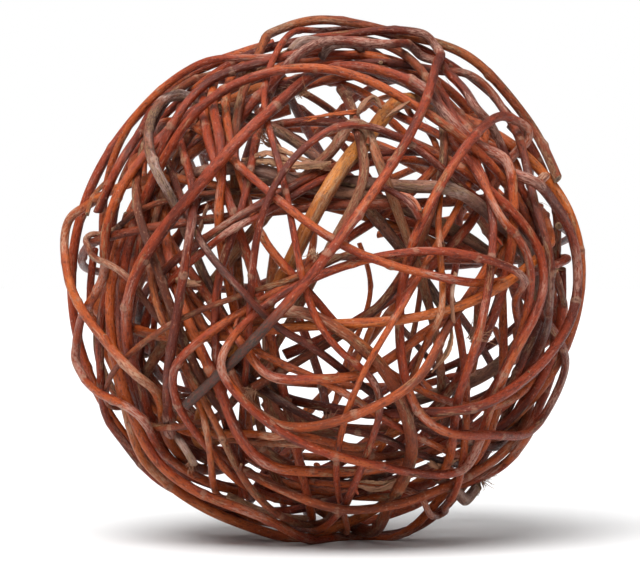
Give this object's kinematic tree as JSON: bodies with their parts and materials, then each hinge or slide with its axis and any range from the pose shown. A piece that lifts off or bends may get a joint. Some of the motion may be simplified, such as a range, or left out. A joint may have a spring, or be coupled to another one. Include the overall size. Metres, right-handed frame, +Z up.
{
  "type": "decorative sphere",
  "caption": "Open ball wound by hand from long thin willow rods that run over and under each other; a hollow ornament that stands on its lowest rods.",
  "frame": {"origin": "on the ground plane, under the middle of the ball's outline", "axes": "+Z up, +X to the right and -Y towards the viewer as the ball is seen in the picture"},
  "size_m": [0.2024, 0.1938, 0.2034],
  "materials": {
    "bark_red": "satin",
    "bark_orange": "satin",
    "bark_dark": "satin",
    "bark_brown": "satin",
    "bark_grey": "matte"
  },
  "bodies": {
    "root": {"willow_rod_01": "bark_red", "willow_rod_02": "bark_red", "willow_rod_03": "bark_red", "willow_rod_04": "bark_red", "willow_rod_05": "bark_brown", "willow_rod_06": "bark_red", "willow_rod_07": "bark_red", "willow_rod_08": "bark_red", "willow_rod_09": "bark_red", "willow_rod_10": "bark_grey", "willow_rod_11": "bark_red", "willow_rod_12": "bark_orange", "willow_rod_13": "bark_red", "willow_rod_14": "bark_brown", "willow_rod_15": "bark_dark", "willow_rod_16": "bark_red", "willow_rod_17": "bark_red", "willow_rod_18": "bark_red", "willow_rod_19": "bark_red", "willow_rod_20": "bark_brown", "willow_rod_21": "bark_orange", "willow_rod_22": "bark_red", "willow_rod_23": "bark_red", "willow_rod_24": "bark_orange", "willow_rod_25": "bark_brown", "willow_rod_26": "bark_orange", "willow_rod_27": "bark_grey", "willow_rod_28": "bark_grey", "willow_rod_29": "bark_orange", "willow_rod_30": "bark_orange", "willow_rod_31": "bark_red", "willow_rod_32": "bark_red", "willow_rod_33": "bark_red", "willow_rod_34": "bark_dark", "willow_rod_35": "bark_red", "willow_rod_36": "bark_orange", "willow_rod_37": "bark_red", "willow_rod_38": "bark_red", "willow_rod_39": "bark_orange", "willow_rod_40": "bark_brown", "willow_rod_41": "bark_red", "willow_rod_42": "bark_red", "willow_rod_43": "bark_brown", "willow_rod_44": "bark_brown", "willow_rod_45": "bark_red", "willow_rod_46": "bark_dark", "willow_rod_47": "bark_red", "willow_rod_48": "bark_red", "willow_rod_49": "bark_orange", "willow_rod_50": "bark_orange", "willow_rod_51": "bark_brown", "willow_rod_52": "bark_dark", "willow_rod_53": "bark_dark", "willow_rod_54": "bark_red", "willow_rod_55": "bark_red", "willow_rod_56": "bark_red", "willow_rod_57": "bark_dark", "willow_rod_58": "bark_red", "willow_rod_59": "bark_red", "willow_rod_60": "bark_brown"}
  },
  "joints": []
}
